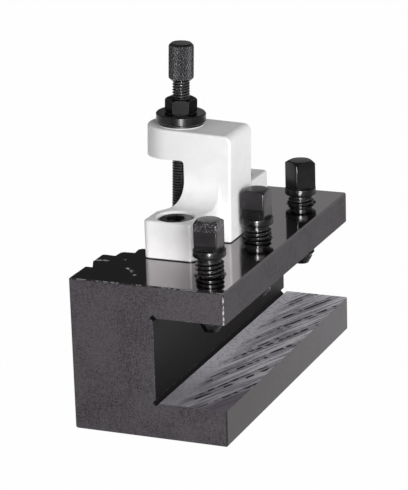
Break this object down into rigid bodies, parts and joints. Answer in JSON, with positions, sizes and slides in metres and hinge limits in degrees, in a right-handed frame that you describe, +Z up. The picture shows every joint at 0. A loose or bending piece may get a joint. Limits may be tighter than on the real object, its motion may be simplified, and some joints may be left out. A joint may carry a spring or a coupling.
{
  "type": "turning tool holder",
  "caption": "Quick-change holder for square-shank turning tools: slotted steel block with clamp screws on top, a serrated concave back for the tool post, and a height screw on a bolted bracket.",
  "frame": {"origin": "centre of the block's underside", "axes": "+Z up along the clamp screws, Y along the tool slot, +X towards the slot's open side"},
  "size_m": [0.0454, 0.1, 0.0994],
  "materials": {
    "block_steel": "blackened, ground faces",
    "bracket_casting": "white satin coat on a smooth casting",
    "cap_screw_steel": "black oxide",
    "height_screw_steel": "black oxide, oiled",
    "nut_steel": "black oxide, oiled",
    "clamp_screw_steel": "black oxide, oiled"
  },
  "bodies": {
    "holder": {"tool_block": "block_steel", "height_bracket": "bracket_casting", "bracket_screw_front": "cap_screw_steel", "bracket_screw_rear": "cap_screw_steel", "nut_washer": "nut_steel"},
    "clamp_front": {"clamp_screw_front": "clamp_screw_steel"},
    "clamp_middle": {"clamp_screw_middle": "clamp_screw_steel"},
    "clamp_rear": {"clamp_screw_rear": "clamp_screw_steel"},
    "height_adjuster": {"height_screw": "height_screw_steel"},
    "height_lock": {"lock_nut": "nut_steel"}
  },
  "joints": [
    {"name": "clamp_front_travel", "type": "slide", "parent": "holder", "child": "clamp_front", "axis": [0, 0, 1], "range_m": [-0.0051, 0.0068]},
    {"name": "clamp_middle_travel", "type": "slide", "parent": "holder", "child": "clamp_middle", "axis": [0, 0, 1], "range_m": [-0.0037, 0.0082]},
    {"name": "clamp_rear_travel", "type": "slide", "parent": "holder", "child": "clamp_rear", "axis": [0, 0, 1], "range_m": [-0.0025, 0.0094]},
    {"name": "height_screw_travel", "type": "slide", "parent": "holder", "child": "height_adjuster", "axis": [0.0384, 0, 0.9993], "range_m": [-0.0035, 0.015]},
    {"name": "lock_nut_travel", "type": "slide", "parent": "holder", "child": "height_lock", "axis": [0.0384, 0, 0.9993], "range_m": [0, 0.0016]}
  ]
}
